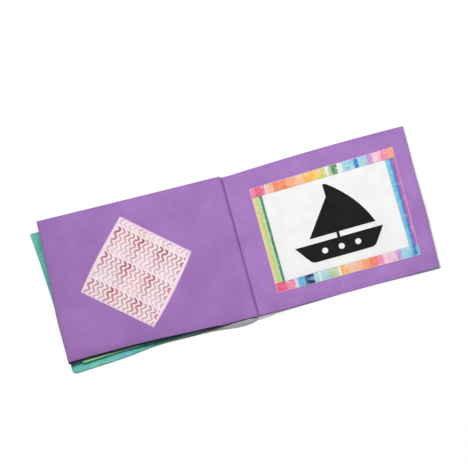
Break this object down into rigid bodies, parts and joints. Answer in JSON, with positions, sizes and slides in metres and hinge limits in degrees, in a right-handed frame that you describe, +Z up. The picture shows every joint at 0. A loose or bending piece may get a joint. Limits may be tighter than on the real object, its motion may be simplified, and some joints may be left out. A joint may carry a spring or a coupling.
{
  "type": "soft fabric book",
  "caption": "Padded cloth book for small children, lying open, with a folded padded sheet and two soft covers that hinge on its sewn spine.",
  "frame": {"origin": "on the table, at the middle of the open book's outline", "axes": "+X across the open spread towards the back cover, +Y up the spine, +Z up from the table"},
  "size_m": [0.4105, 0.1689, 0.0146],
  "materials": {
    "purple_page": "plain-weave cotton, matt",
    "purple_lining": "plain-weave cotton, matt",
    "teal_lining": "printed cotton, matt",
    "outer_cotton": "plain-weave cotton, matt",
    "wave_print": "printed cotton, matt",
    "white_cotton": "plain cotton, matt",
    "rainbow_cross": "striped cotton, matt",
    "stripe_left": "striped cotton, matt",
    "stripe_right": "striped cotton, matt",
    "black_cloth": "black cotton, matt"
  },
  "bodies": {
    "pages": {"pages": "purple_page", "wave_patch": "wave_print"},
    "front_cover": {"front_cover": "teal_lining", "front_cover_outer": "outer_cotton"},
    "back_cover": {"back_cover": "purple_lining", "back_cover_outer": "outer_cotton", "picture_panel": "white_cotton", "frame_strip_top": "rainbow_cross", "frame_strip_bottom": "rainbow_cross", "frame_strip_left": "stripe_left", "frame_strip_right": "stripe_right", "boat_applique": "black_cloth"}
  },
  "joints": [
    {"name": "back_cover_fold", "type": "hinge", "parent": "pages", "child": "back_cover", "pos_m": [0.0047, 0, 0.0065], "axis": [0, -1, 0], "range_deg": [0, 176]},
    {"name": "front_cover_fold", "type": "hinge", "parent": "pages", "child": "front_cover", "pos_m": [0.0047, 0, 0.00165], "axis": [0, -1, 0], "range_deg": [0, 155]}
  ]
}
